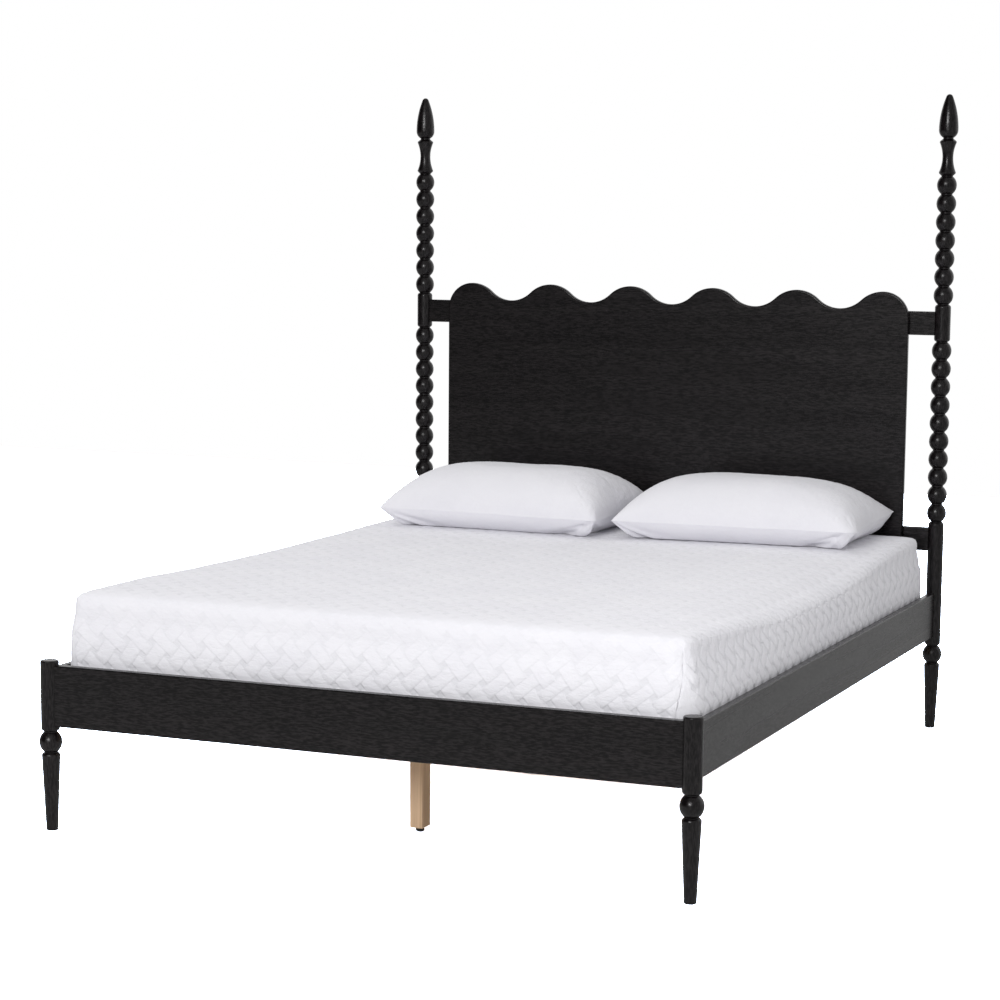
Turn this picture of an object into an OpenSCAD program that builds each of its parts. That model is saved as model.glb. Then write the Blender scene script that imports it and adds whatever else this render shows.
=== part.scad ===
// Platform bed: turned bobbin posts, a scalloped headboard panel, thin rails and a slatted base.
// X runs across the bed, +Y from the foot to the head, Z up. The origin is on the floor, midway
// between the four posts. Left and right are as seen from the foot.

/* [Mattress and pillows] */
// Width of the mattress
mattress_w = 1524; // [1360:2:1930]
// Length of the mattress
mattress_l = 2032; // [1880:2:2130]
// Thickness of the mattress
mattress_h = 245; // [180:1:330]
// How much the top of the mattress falls from its flat middle to its edge
mattress_crown = 8; // [2:1:20]
// Radius of the upright corners of the mattress
mattress_corner_r = 25; // [15:1:60]
// Radius of the top edge of the mattress
mattress_edge_r = 48; // [20:1:70]
// Width of a pillow between its tips
pillow_w = 690; // [560:1:700]
// Depth of a pillow between its tips
pillow_d = 450; // [360:1:520]
// Height of a pillow from the mattress to its crown
pillow_h = 165; // [100:1:220]
// Height of a pillow's seam above the mattress
pillow_seam_z = 50; // [30:1:80]
// Gap between the two pillows where they come nearest
pillow_gap = 3; // [1:1:60]
// Gap between the left pillow's rear corner and the headboard panel
pillow_left_gap = 38; // [3:1:120]
// Gap between the right pillow's rear corner and the headboard panel
pillow_right_gap = 10; // [3:1:120]

/* [Clearances] */
// Gap between the mattress and a side rail
side_gap = 19; // [8:1:40]
// Gap between the mattress and the foot rail
foot_gap = 28; // [8:1:60]
// Gap between the mattress and the headboard panel
head_gap = 2; // [1:0.5:20]
// Gap under a soft piece
soft_gap = 0.3; // [0.2:0.05:1]
// Gap all round a bolt, screw, dowel or rail end in its bore or slot
fit_gap = 0.1; // [0.05:0.05:0.2]
// Gap between a slat's end and the side rail
slat_end_gap = 3; // [1:0.5:8]

/* [Turned posts] */
// Diameter of a post's plain lengths
post_d = 44.5; // [42:0.5:52]
// Diameter of a bead
bead_d = 54.4; // [52:0.2:64]
// Diameter of the necks between the beads
neck_d = 32; // [26:1:36]
// Height of one bead from neck to neck
bead_pitch = 50.72; // [46:0.01:58]
// Beads on a rear post below the upper stretcher
lower_beads = 10; // [6:1:12]
// Beads on a spindle above the upper stretcher
upper_beads = 7; // [4:1:9]
// Diameter of a leg at the floor
foot_d = 28.4; // [24:0.2:38]
// Height of the vase at the top of a spindle
vase_h = 101.4; // [80:0.2:140]
// Diameter of the vase at its waist
vase_waist_d = 29.6; // [24:0.2:36]
// Diameter of the lips of the vase
vase_lip_d = 47; // [42:0.5:54]
// Height of a flame finial
finial_h = 121.6; // [100:0.2:150]
// Greatest diameter of a finial
finial_d = 53.4; // [48:0.2:60]
// Height of a front post above the foot rail
post_rise = 11; // [5:1:40]

/* [Rails] */
// Height of the side rails' lower edge above the floor
side_rail_z = 263; // [220:1:330]
// Height of a side rail
side_rail_h = 125; // [115:1:180]
// Thickness of the side rails and the head rail
side_rail_t = 20; // [19:0.5:26]
// Thickness of the foot rail
foot_rail_t = 22; // [19:0.5:28]
// How far the foot rail reaches below the side rails
foot_rail_drop = 13; // [0:1:40]
// How far the foot rail reaches above the side rails
foot_rail_rise = 8; // [0:1:30]
// How far the side rails reach above the head rail
head_rail_drop = 22; // [8:1:24]
// Distance of a side rail's middle plane inside the posts' axes
rail_inset = 4; // [0:0.5:6]
// Radius of the rails' long edges
rail_edge_r = 2.5; // [1:0.5:4]
// Distance from a post's axis to the flat at the bottom of its rail slots
seat_x = 16; // [14:0.5:17]

/* [Slatted base] */
// Number of slats
slat_count = 14; // [10:1:15]
// Width of a slat
slat_w = 75; // [50:1:90]
// Thickness of a slat
slat_t = 15; // [13:0.5:20]
// Width of a ledger
ledger_w = 22; // [18:1:30]
// Height of a ledger
ledger_h = 24; // [20:1:30]
// Width of the centre beam
beam_w = 60; // [45:1:80]
// Height of the centre beam
beam_h = 30; // [27:1:40]
// Thickness of the steel of a beam hanger
hanger_t = 2; // [1.5:0.5:3]
// Width of a support leg across the bed
leg_w = 32; // [30:1:45]
// Depth of a support leg along the bed
leg_d = 45; // [32:1:55]
// Height of a support leg's lower end above the floor
leg_clear = 12; // [10:1:20]
// Diameter of a levelling glide
glide_d = 22; // [18:1:30]

/* [Headboard] */
// Height of the lower stretcher above the floor
lower_stretcher_z = 507; // [460:1:600]
// Height of a stretcher
stretcher_h = 66; // [60:1:80]
// Thickness of a stretcher
stretcher_t = 20; // [19:0.5:26]
// Length of a post's plain part between a stretcher and the beads beside it
post_land = 17; // [14:0.5:40]
// Length of a post's plain part over the upper stretcher, below the spindle
spindle_land = 19.8; // [18:0.1:40]
// Thickness of the panel
panel_t = 18; // [16:0.5:25]
// Distance from a post's axis to the panel's side edge
panel_side_gap = 91; // [60:1:160]
// Height of the panel's crests above the upper stretcher
panel_rise = 53.3; // [40:0.1:90]
// Number of crests on the panel
scallop_count = 6; // [4:1:8]
// Depth of the panel's scallops
scallop_depth = 49.5; // [20:0.5:55]
// Radius of the panel's upper corners
shoulder_r = 75; // [56:1:90]

/* [Fittings] */
// Diameter of a rail bolt
bolt_d = 6; // [5:1:6]
// Diameter of a rail dowel
dowel_d = 8; // [6:1:8]
// Diameter of a wood screw
screw_d = 4; // [3.5:0.1:4.5]
// Diameter of the studs in the spindles and support legs
stud_d = 8; // [6:1:8]
// Diameter of a nut pocket
pocket_d = 34; // [30:1:36]

/* [Hidden] */

BLACK_WOOD = "#231f20";
RAW_WOOD = "#c6a57c";
STEEL = "#b9bcc0";
BLACK_PLASTIC = "#141414";
COTTON = "#f2f2f4";

// Plan
rail_in_x = mattress_w / 2 + side_gap;
side_rail_x = rail_in_x + side_rail_t / 2;
post_x = side_rail_x + rail_inset;
post_span_y = foot_rail_t / 2 + foot_gap + mattress_l + head_gap + panel_t + stretcher_t / 2;
post_y = post_span_y / 2;
foot_in_y = -post_y + foot_rail_t / 2;
head_in_y = post_y - side_rail_t / 2;
panel_back_y = post_y - stretcher_t / 2;
panel_front_y = panel_back_y - panel_t;
mattress_y = panel_front_y - head_gap - mattress_l / 2;

// Heights
foot_rail_z = side_rail_z - foot_rail_drop;
foot_rail_h = foot_rail_drop + side_rail_h + foot_rail_rise;
head_rail_h = side_rail_h - head_rail_drop;
plain_foot_h = 12.4;
plain_z = foot_rail_z - plain_foot_h;
leg_h = plain_z - bead_pitch;
front_top_z = foot_rail_z + foot_rail_h + post_rise;
plain_top_z = lower_stretcher_z + stretcher_h + post_land;
upper_plain_z = plain_top_z + lower_beads * bead_pitch;
upper_stretcher_z = upper_plain_z + post_land;
spindle_z = upper_stretcher_z + stretcher_h + spindle_land;
vase_z = spindle_z + upper_beads * bead_pitch;
finial_z = vase_z + vase_h;
beam_z = side_rail_z + hanger_t;
slat_z = beam_z + beam_h;
deck_z = slat_z + slat_t;
ledger_z = slat_z - ledger_h;
mattress_z = deck_z + soft_gap;
pillow_z = mattress_z + mattress_h + soft_gap;

// Pillows
pillow_meet_x = -8;
pillow_pull = 0.06;
left_pillow_turn = -2.5;
right_pillow_turn = 2;

// Turning
collar_h = 3;
neck_r = neck_d / 2;
post_r = post_d / 2;
bead_half = (bead_pitch - collar_h) / 2;
end_round_h = 8;
top_round_r = 4;
leg_top_d = post_d - 0.5;
leg_shoulder_h = 7;
vase_lip_in = 9.4;

// Slatted base
slat_margin = 10;
slat_first_y = foot_in_y + slat_margin + slat_w / 2;
slat_last_y = head_in_y - slat_margin - slat_w / 2;
slat_pitch = (slat_last_y - slat_first_y) / (slat_count - 1);
slat_half = rail_in_x - slat_end_gap;
ledger_x = rail_in_x - ledger_w / 2;
ledger_end_gap = 2;
ledger_half = post_y - post_d / 2 - ledger_end_gap;
leg_count = 3;
leg_pitch = post_span_y / leg_count;
beam_gap = 0.5;
hanger_wing = 18;
hanger_reach = 40;
hanger_drop = 2;

// Bolted joints. Lengths run along the rail from the post's axis.
bolt_past = 12;
pocket_in = 45;
pocket_x = seat_x + pocket_in;
pocket_spare = 0.6;
nut_flat = bolt_d * 5 / 3;
nut_r = nut_flat / 2 / cos(30);
nut_h = bolt_d * 0.8;
moon_chord = 6;
nut_reach = 4;
bolt_end = pocket_x + nut_reach;
bolt_bore_spare = 1;
dowel_in_post = 12;
dowel_in_rail = 18;
dowel_chamfer = 1;
dowel_bore_spare = 0.5;
cross_bolt = 0.62;
foot_dowels = [0.11, 0.86];
head_dowels = [0.11, 0.52];
side_bolt = 0.42;
side_dowels = [0.24, 0.75];
stretcher_bolt = 0.5;
stretcher_dowels = [0.18, 0.82];

// Screws and studs
head_ratio = 2;
head_rim_h = 0.5;
slat_screw_l = slat_t + 20;
ledger_screw_l = ledger_w + side_rail_t / 2;
panel_screw_l = stretcher_t + panel_t * 2 / 3;
hanger_screw_l = 16;
panel_screws_per_stretcher = 5;
stud_grip = 24;
spindle_stud_past = 4;
spindle_stud_low = spindle_land + spindle_stud_past;
stud_cover = 8;
leg_stud_grip = beam_h - stud_cover;
glide_thick = 8;
glide_under_r = 4.5;
glide_top_ease = 1.5;
stem_d = 8;
stem_l = 37;
stem_gap = 0.15;
nut_flange_t = 1.2;
nut_flange_w = 5.5;
nut_barrel_l = 9;
nut_barrel_t = 1.5;

function slat_name(i) = str("slat_", i < 10 ? "0" : "", i);
function slat_y(i) = slat_first_y + (i - 1) * slat_pitch;
function leg_y(k) = -post_y + (k - 0.5) * leg_pitch;
function side_name(s) = s < 0 ? "left" : "right";

SIDES = [-1, 1];

// Points along an arc about c, from angle a0 to a1 in n steps
function arc(c, r, a0, a1, n) =
    [for (i = [0:n]) let (a = a0 + (a1 - a0) * i / n) c + r * [cos(a), sin(a)]];

// Radius of the arc that leaves a wall upright and meets a point dx further in and dz higher
function fillet_r(dx, dz) = (dx * dx + dz * dz) / (2 * dx);

// A joint is [post axis, direction into the rail, side of the nut pocket, offset of the rail,
// thickness, z of its bottom, height of the slot, z of the bolt, z of the dowels]
function joint(p, u, v, off, t, z, h, base, size, bolt, dowels) =
    [p, u, v, off, t, z, h, base + size * bolt, [for (d = dowels) base + size * d]];
function foot_joint(s) =
    joint([s * post_x, -post_y], [-s, 0], [0, 1], 0, foot_rail_t, foot_rail_z, foot_rail_h,
        side_rail_z, side_rail_h, cross_bolt, foot_dowels);
function head_joint(s) =
    joint([s * post_x, post_y], [-s, 0], [0, -1], 0, side_rail_t, side_rail_z, head_rail_h,
        side_rail_z, side_rail_h, cross_bolt, head_dowels);
function side_joint(s, end) =
    joint([s * post_x, end * post_y], [0, -end], [-s, 0], rail_inset, side_rail_t, side_rail_z,
        side_rail_h, side_rail_z, side_rail_h, side_bolt, side_dowels);
function stretcher_joint(s, z) =
    joint([s * post_x, post_y], [-s, 0], [0, 1], 0, stretcher_t, z, stretcher_h,
        z, stretcher_h, stretcher_bolt, stretcher_dowels);
function front_joints(s) = [foot_joint(s), side_joint(s, -1)];
function rear_joints(s) =
    [head_joint(s), side_joint(s, 1), stretcher_joint(s, lower_stretcher_z),
        stretcher_joint(s, upper_stretcher_z)];
ALL_JOINTS = [for (s = SIDES) each concat(front_joints(s), rear_joints(s))];

// Moves its children into a joint's own frame: +X into the rail, +Y to the pocket side
module at_joint(j) {
    p = j[0];
    u = j[1];
    v = j[2];
    multmatrix([[u[0], v[0], 0, p[0]], [u[1], v[1], 0, p[1]], [0, 0, 1, 0], [0, 0, 0, 1]])
        children();
}

// A rod along +X from x0 to x1
module rod_x(d, x0, x1) {
    translate([x0, 0, 0]) rotate([0, 90, 0]) cylinder(d = d, h = x1 - x0, $fn = 32);
}

module joint_bores(j) {
    translate([0, j[3], j[7]]) rod_x(bolt_d + 2 * fit_gap,
        -bolt_past - bolt_bore_spare, bolt_end + bolt_bore_spare);
    for (z = j[8])
        translate([0, j[3], z])
            rod_x(dowel_d + 2 * fit_gap, seat_x - dowel_in_post - dowel_bore_spare,
                seat_x + dowel_in_rail + dowel_bore_spare);
}

// The slot in a post that a rail's end seats in, with the bores of the joint
module post_cuts(joints) {
    for (j = joints)
        at_joint(j) {
            translate([seat_x, j[3] - j[4] / 2 - fit_gap, j[5] - fit_gap])
                cube([bead_d, j[4] + 2 * fit_gap, j[6] + 2 * fit_gap]);
            joint_bores(j);
        }
}

function pocket_floor(j) = j[3] - nut_r - pocket_spare;

// The bores in a rail's end, with the round pocket that the nut is reached through
module rail_cuts(joints) {
    for (j = joints)
        at_joint(j) {
            joint_bores(j);
            translate([pocket_x, pocket_floor(j), j[7]])
                rotate([-90, 0, 0]) cylinder(d = pocket_d, h = j[4], $fn = 64);
        }
}

// Half outline of a bead from neck to neck, standing on z
module bead_outline(z) {
    r = fillet_r((bead_d - neck_d) / 2, bead_half);
    intersection() {
        translate([bead_d / 2 - r, z + bead_pitch / 2]) circle(r = r, $fn = 120);
        translate([0, z]) square([bead_d, bead_pitch]);
    }
}

module bead_row(z, count) {
    translate([0, z]) square([neck_r, count * bead_pitch]);
    for (i = [0:count - 1]) bead_outline(z + i * bead_pitch);
}

// Half outline of a plain length, with its ends rounded in to the necks
module plain_outline(z0, z1) {
    r = fillet_r(post_r - neck_r, end_round_h);
    turn = asin(end_round_h / r);
    polygon(concat(
        [[0, z0]],
        arc([post_r - r, z0 + end_round_h], r, -turn, 0, 6),
        arc([post_r - r, z1 - end_round_h], r, 0, turn, 6),
        [[0, z1]]
    ));
}

// Half outline of the plain top of a front post
module capped_outline(z0, z1) {
    r = fillet_r(post_r - neck_r, end_round_h);
    turn = asin(end_round_h / r);
    polygon(concat(
        [[0, z0]],
        arc([post_r - r, z0 + end_round_h], r, -turn, 0, 6),
        arc([post_r - top_round_r, z1 - top_round_r], top_round_r, 0, 90, 6),
        [[0, z1]]
    ));
}

// Half outline of the tapered leg and the ball over it
module leg_outline() {
    r = fillet_r(leg_top_d / 2 - neck_r, leg_shoulder_h);
    turn = asin(leg_shoulder_h / r);
    polygon(concat(
        [[0, 0], [foot_d / 2 - 1.5, 0], [foot_d / 2, 1.5]],
        arc([leg_top_d / 2 - r, leg_h - leg_shoulder_h], r, 0, turn, 6),
        [[0, leg_h]]
    ));
    bead_row(leg_h, 1);
}

module front_post(s) {
    color(BLACK_WOOD)
        difference() {
            translate([s * post_x, -post_y, 0])
                rotate_extrude($fn = 120) {
                    leg_outline();
                    capped_outline(plain_z, front_top_z);
                }
            post_cuts(front_joints(s));
        }
}

module rear_post(s) {
    color(BLACK_WOOD)
        difference() {
            translate([s * post_x, post_y, 0])
                rotate_extrude($fn = 120) {
                    leg_outline();
                    plain_outline(plain_z, plain_top_z);
                    bead_row(plain_top_z, lower_beads);
                    plain_outline(upper_plain_z, spindle_z);
                }
            post_cuts(rear_joints(s));
            spindle_stud(s, fit_gap);
        }
}

// Half outline of the vase: a hollow waist between two lips
module vase_outline() {
    lip_r = vase_lip_d / 2;
    waist_r = vase_waist_d / 2;
    lip_in = vase_lip_in;
    half = vase_h / 2 - lip_in;
    hollow_r = fillet_r(lip_r - waist_r, half);
    turn = asin(half / hollow_r);
    mid_z = vase_z + vase_h / 2;
    polygon(concat(
        [[0, vase_z], [neck_r, vase_z], [lip_r - 1, vase_z + lip_in - 3]],
        arc([waist_r + hollow_r, mid_z], hollow_r, 180 + turn, 180 - turn, 20),
        [[lip_r - 1, finial_z - lip_in + 3], [vase_waist_d / 2, finial_z], [0, finial_z]]
    ));
}

module spindle(s) {
    color(BLACK_WOOD)
        difference() {
            translate([s * post_x, post_y, 0])
                rotate_extrude($fn = 120) {
                    bead_row(spindle_z, upper_beads);
                    vase_outline();
                }
            spindle_stud(s, fit_gap);
            finial_stud(s, fit_gap);
        }
}

// Half outline of a flame: a round bulb, a long curve that closes in, and a small round tip
module flame_outline() {
    widest_z = 24;
    bulb_r = 24;
    flame_r = 245;
    belly_r = finial_d / 2;
    stem_r = vase_waist_d / 2 - 0.5;
    centre_x = belly_r - flame_r;
    rise = finial_h - widest_z;
    tip_r = (flame_r * flame_r - centre_x * centre_x - rise * rise) / (2 * (flame_r - rise));
    tip_z = finial_h - tip_r;
    lean = atan2(tip_z - widest_z, -centre_x);
    start = acos((stem_r - belly_r + bulb_r) / bulb_r);
    translate([0, finial_z])
        polygon(concat(
            [[0, 0], [stem_r, 0]],
            arc([belly_r - bulb_r, widest_z], bulb_r, -start, 0, 10),
            arc([centre_x, widest_z], flame_r, lean / 10, lean, 9),
            arc([0, tip_z], tip_r, lean + 10, 90, 6)
        ));
}

module finial(s) {
    color(BLACK_WOOD)
        difference() {
            translate([s * post_x, post_y, 0]) rotate_extrude($fn = 120) flame_outline();
            finial_stud(s, fit_gap);
        }
}

// A stud across a joint at height z, low below it and high above it, or its bore
module stud(low, high, gap = 0) {
    translate([0, 0, -low - gap])
        cylinder(d = stud_d + 2 * gap, h = low + high + 2 * gap, $fn = 32);
}

module spindle_stud(s, gap = 0) {
    translate([s * post_x, post_y, spindle_z]) stud(spindle_stud_low, stud_grip, gap);
}

module finial_stud(s, gap = 0) {
    translate([s * post_x, post_y, finial_z]) stud(stud_grip, stud_grip, gap);
}

// A board's section across its thickness, with its long edges rounded
module board_section(t, h) {
    r = rail_edge_r;
    polygon(concat(
        arc([t / 2 - r, r], r, -90, 0, 4),
        arc([t / 2 - r, h - r], r, 0, 90, 4),
        arc([r - t / 2, h - r], r, 90, 180, 4),
        arc([r - t / 2, r], r, 180, 270, 4)
    ));
}

// A board of length l along X, centred, standing on z = 0
module board_x(l, t, h) {
    rotate([90, 0, 90]) linear_extrude(height = l, center = true) board_section(t, h);
}

module foot_rail() {
    color(BLACK_WOOD)
        difference() {
            translate([0, -post_y, foot_rail_z])
                board_x(2 * (post_x - seat_x), foot_rail_t, foot_rail_h);
            rail_cuts([for (s = SIDES) foot_joint(s)]);
            hanger_screw_set(-1, fit_gap);
        }
}

module head_rail() {
    color(BLACK_WOOD)
        difference() {
            translate([0, post_y, side_rail_z])
                board_x(2 * (post_x - seat_x), side_rail_t, head_rail_h);
            rail_cuts([for (s = SIDES) head_joint(s)]);
            hanger_screw_set(1, fit_gap);
        }
}

module side_rail(s) {
    color(BLACK_WOOD)
        difference() {
            translate([s * side_rail_x, 0, side_rail_z])
                rotate([0, 0, 90]) board_x(2 * (post_y - seat_x), side_rail_t, side_rail_h);
            rail_cuts([side_joint(s, -1), side_joint(s, 1)]);
            ledger_screw_set(s, fit_gap);
        }
}

module stretcher(z) {
    color(BLACK_WOOD)
        difference() {
            translate([0, post_y, z]) board_x(2 * (post_x - seat_x), stretcher_t, stretcher_h);
            rail_cuts([for (s = SIDES) stretcher_joint(s, z)]);
            panel_screw_row(z, fit_gap);
        }
}

// Outline of the panel: equal arcs make the crests and valleys, quarter circles the shoulders
module panel_outline() {
    half_w = post_x - panel_side_gap;
    crest_z = upper_stretcher_z + stretcher_h + panel_rise;
    pitch = 2 * (half_w - shoulder_r) / (scallop_count - 1);
    wave_r = fillet_r(scallop_depth / 2, pitch / 4);
    turn = asin(pitch / 4 / wave_r);
    steps = 8;
    polygon(concat(
        [[-half_w, lower_stretcher_z], [half_w, lower_stretcher_z]],
        arc([half_w - shoulder_r, crest_z - shoulder_r], shoulder_r, 0, 90, 12),
        [for (i = [0:scallop_count - 2])
            let (x = half_w - shoulder_r - i * pitch)
            each concat(
                arc([x, crest_z - wave_r], wave_r, 90 + turn / steps, 90 + turn, steps - 1),
                arc([x - pitch / 2, crest_z - scallop_depth + wave_r], wave_r,
                    turn * (steps - 1) / steps - 90, -90 - turn, 2 * steps - 1),
                arc([x - pitch, crest_z - wave_r], wave_r,
                    90 - turn * (steps - 1) / steps, 90 - turn / steps, steps - 2)
            )],
        arc([shoulder_r - half_w, crest_z - shoulder_r], shoulder_r, 90, 180, 12)
    ));
}

module headboard_panel() {
    color(BLACK_WOOD)
        difference() {
            translate([0, panel_back_y, 0])
                rotate([90, 0, 0]) linear_extrude(height = panel_t) panel_outline();
            panel_screw_row(lower_stretcher_z, fit_gap);
            panel_screw_row(upper_stretcher_z, fit_gap);
        }
}

// A countersunk screw along -Z with the top of its head at z = 0, or its bore when gap is set
module screw(l, gap = 0) {
    r = screw_d / 2 + gap;
    head_r = screw_d * head_ratio / 2 + gap;
    cone = head_r - r;
    point = screw_d / 2;
    rotate_extrude($fn = 32)
        polygon([[0, gap], [head_r, gap], [head_r, -head_rim_h], [r, -head_rim_h - cone],
            [r, point - l - gap], [0, -l - gap]]);
}

module panel_screw_row(z, gap = 0) {
    span = 2 * (post_x - panel_side_gap - shoulder_r);
    step = span / panel_screws_per_stretcher;
    for (i = [0:panel_screws_per_stretcher - 1])
        translate([(i + 0.5) * step - span / 2, post_y + stretcher_t / 2, z + stretcher_h / 2])
            rotate([-90, 0, 0]) screw(panel_screw_l, gap);
}

module ledger_screw_set(s, gap = 0) {
    for (i = [1:2:slat_count - 1])
        translate([s * (rail_in_x - ledger_w), slat_y(i) + slat_pitch / 2, ledger_z + ledger_h / 2])
            rotate([0, -90 * s, 0]) screw(ledger_screw_l, gap);
}

module hanger_screw_set(end, gap = 0) {
    face_y = end < 0 ? foot_in_y + hanger_t : head_in_y - hanger_t;
    x = beam_w / 2 + beam_gap + hanger_t + hanger_wing / 2;
    for (s = SIDES)
        for (f = [0.3, 0.72])
            translate([s * x, face_y, side_rail_z + f * beam_h])
                rotate([90 * end, 0, 0]) screw(hanger_screw_l, gap);
}

// The three screws that hold slat i to the ledgers and the beam
module slat_screw_set(i, gap = 0) {
    for (x = [-ledger_x, beam_w / 4, ledger_x])
        translate([x, slat_y(i), deck_z]) screw(slat_screw_l, gap);
}

module ledger(s) {
    color(RAW_WOOD)
        difference() {
            translate([s * ledger_x, 0, ledger_z + ledger_h / 2])
                cube([ledger_w, 2 * ledger_half, ledger_h], center = true);
            ledger_screw_set(s, fit_gap);
            for (i = [1:slat_count])
                translate([s * ledger_x, slat_y(i), deck_z]) screw(slat_screw_l, fit_gap);
        }
}

module slat(i) {
    ease = 1.5;
    color(RAW_WOOD)
        difference() {
            translate([0, slat_y(i), slat_z])
                rotate([90, 0, 90])
                    linear_extrude(height = 2 * slat_half, center = true)
                        polygon([
                            [-slat_w / 2, 0], [slat_w / 2, 0],
                            [slat_w / 2, slat_t - ease], [slat_w / 2 - ease, slat_t],
                            [ease - slat_w / 2, slat_t], [-slat_w / 2, slat_t - ease]
                        ]);
            slat_screw_set(i, fit_gap);
        }
}

module centre_beam() {
    y0 = foot_in_y + hanger_t + beam_gap;
    y1 = head_in_y - hanger_t - beam_gap;
    color(RAW_WOOD)
        difference() {
            translate([-beam_w / 2, y0, beam_z]) cube([beam_w, y1 - y0, beam_h]);
            for (i = [1:slat_count])
                translate([beam_w / 4, slat_y(i), deck_z]) screw(slat_screw_l, fit_gap);
            for (k = [1:leg_count]) leg_stud(k, fit_gap);
        }
}

// A folded steel seat: a back plate with a wing each side, two cheeks and a floor
module beam_hanger(end) {
    face_y = end < 0 ? foot_in_y : head_in_y;
    inside = beam_w / 2 + beam_gap;
    outside = inside + hanger_t;
    tall = beam_h - hanger_drop + hanger_t;
    color(STEEL)
        difference() {
            translate([0, face_y, side_rail_z])
                mirror([0, end < 0 ? 0 : 1, 0]) {
                    translate([-outside - hanger_wing, 0, 0])
                        cube([2 * (outside + hanger_wing), hanger_t, tall]);
                    translate([-outside, 0, 0]) cube([2 * outside, hanger_reach, hanger_t]);
                    for (s = SIDES)
                        translate([s * (outside + inside) / 2 - hanger_t / 2, 0, 0])
                            cube([hanger_t, hanger_reach, tall]);
                }
            hanger_screw_set(end, fit_gap);
        }
}

module support_leg(k) {
    color(RAW_WOOD)
        difference() {
            translate([-leg_w / 2, leg_y(k) - leg_d / 2, leg_clear])
                cube([leg_w, leg_d, beam_z - leg_clear]);
            leg_stud(k, fit_gap);
            glide_nut(k, fit_gap);
            translate([0, leg_y(k), 0]) cylinder(d = stem_d + 1, h = stem_l + 20, $fn = 32);
        }
}

module leg_stud(k, gap = 0) {
    translate([0, leg_y(k), beam_z]) stud(leg_stud_grip, leg_stud_grip, gap);
}

// The flanged nut in a leg's lower end, or its seat when gap is set
module glide_nut(k, gap = 0) {
    r = stem_d / 2 + stem_gap;
    translate([0, leg_y(k), leg_clear])
        difference() {
            union() {
                translate([0, 0, -gap])
                    cylinder(r = r + nut_flange_w + gap, h = nut_flange_t + 2 * gap, $fn = 48);
                cylinder(r = r + nut_barrel_t + gap, h = nut_barrel_l + gap, $fn = 48);
            }
            if (gap == 0)
                translate([0, 0, -1]) cylinder(r = r, h = nut_barrel_l + 2, $fn = 32);
        }
}

module leveling_glide(k) {
    under = glide_under_r;
    ease = glide_top_ease;
    r = glide_d / 2;
    color(BLACK_PLASTIC)
        translate([0, leg_y(k), 0])
            rotate_extrude($fn = 64)
                polygon(concat(
                    [[0, 0]],
                    arc([r - under, under], under, -90, 0, 6),
                    [[r, glide_thick - ease], [r - ease, glide_thick], [stem_d / 2, glide_thick],
                        [stem_d / 2, glide_thick + stem_l], [0, glide_thick + stem_l]]
                ));
}

// Points of a rounded rectangle at one height, n steps to each corner
function ring(w, l, r, z, n) =
    [for (c = [0:3]) for (k = [0:n])
        let (a = 90 * (c + k / n), sx = c == 0 || c == 3 ? 1 : -1, sy = c < 2 ? 1 : -1)
        [sx * (w / 2 - r) + r * cos(a), sy * (l / 2 - r) + r * sin(a), z]];

// A closed skin over rings of equal counts, from the lowest to the highest
module skin(rings) {
    n = len(rings[0]);
    m = len(rings);
    points = concat([for (q = rings) each q], [[0, 0, rings[0][0][2]], [0, 0, rings[m - 1][0][2]]]);
    sides = [for (j = [0:m - 2]) for (i = [0:n - 1])
        let (a = j * n + i, b = j * n + (i + 1) % n)
        each [[a, a + n, b + n], [a, b + n, b]]];
    floor_fan = [for (i = [0:n - 1]) [m * n, i, (i + 1) % n]];
    top_fan = [for (i = [0:n - 1]) let (o = (m - 1) * n) [m * n + 1, o + (i + 1) % n, o + i]];
    polyhedron(points = points, faces = concat(sides, floor_fan, top_fan));
}

// The mattress: sides drawn in a little at top and bottom, a soft top edge and a crowned top
module mattress() {
    corner_steps = 8;
    waist = 5;
    wall_h = mattress_h - mattress_crown - mattress_edge_r;
    crown_in = 260;
    wall = [for (t = [0:0.2:1]) [waist * pow(2 * t - 1, 4), t * wall_h]];
    edge = [for (a = [15:15:90])
        [waist + mattress_edge_r * (1 - cos(a)), wall_h + mattress_edge_r * sin(a)]];
    crown = [for (t = [0.25:0.25:1])
        [waist + mattress_edge_r + t * crown_in,
            wall_h + mattress_edge_r + mattress_crown * sin(90 * t)]];
    rings = [for (p = concat(wall, edge, crown))
        ring(mattress_w - 2 * p[0], mattress_l - 2 * p[0], mattress_corner_r, p[1], corner_steps)];
    color(COTTON) translate([0, mattress_y, mattress_z]) skin(rings);
}

// Outline of a pillow, counterclockwise, n steps to a side: pointed corners, sides drawn in
function pillow_outline(n) =
    [for (c = [0:3]) for (k = [0:n - 1])
        let (e = sin(180 * k / n - 90), u = [1, -e, -1, e][c], v = [e, 1, -e, -1][c])
        [pillow_w / 2 * u * (1 - pillow_pull * (1 - v * v)),
            pillow_d / 2 * v * (1 - pillow_pull * (1 - u * u))]];

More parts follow.
